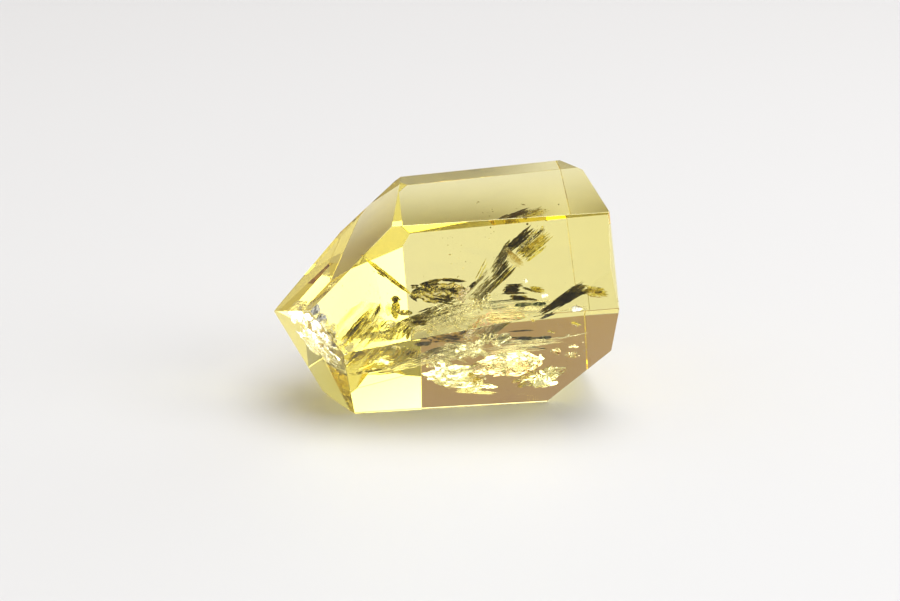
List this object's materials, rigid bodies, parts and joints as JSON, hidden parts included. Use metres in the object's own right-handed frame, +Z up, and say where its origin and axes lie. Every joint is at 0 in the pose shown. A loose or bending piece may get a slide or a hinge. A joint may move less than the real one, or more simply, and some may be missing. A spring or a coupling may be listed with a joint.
{
  "type": "citrine crystal point",
  "caption": "Hand-polished citrine crystal point lying on a prism face: a clear lemon-yellow six-sided prism with a faceted tip and a flat ground end.",
  "frame": {"origin": "on the resting surface, under the middle of the crystal's bounding box", "axes": "+X along the crystal from its tip to its ground end, +Z up from the prism face it rests on, -Y the side that faces the viewer"},
  "size_m": [0.0398, 0.0302, 0.0266],
  "materials": {
    "citrine": "polished"
  },
  "bodies": {
    "root": {"citrine_crystal": "citrine"}
  },
  "joints": []
}
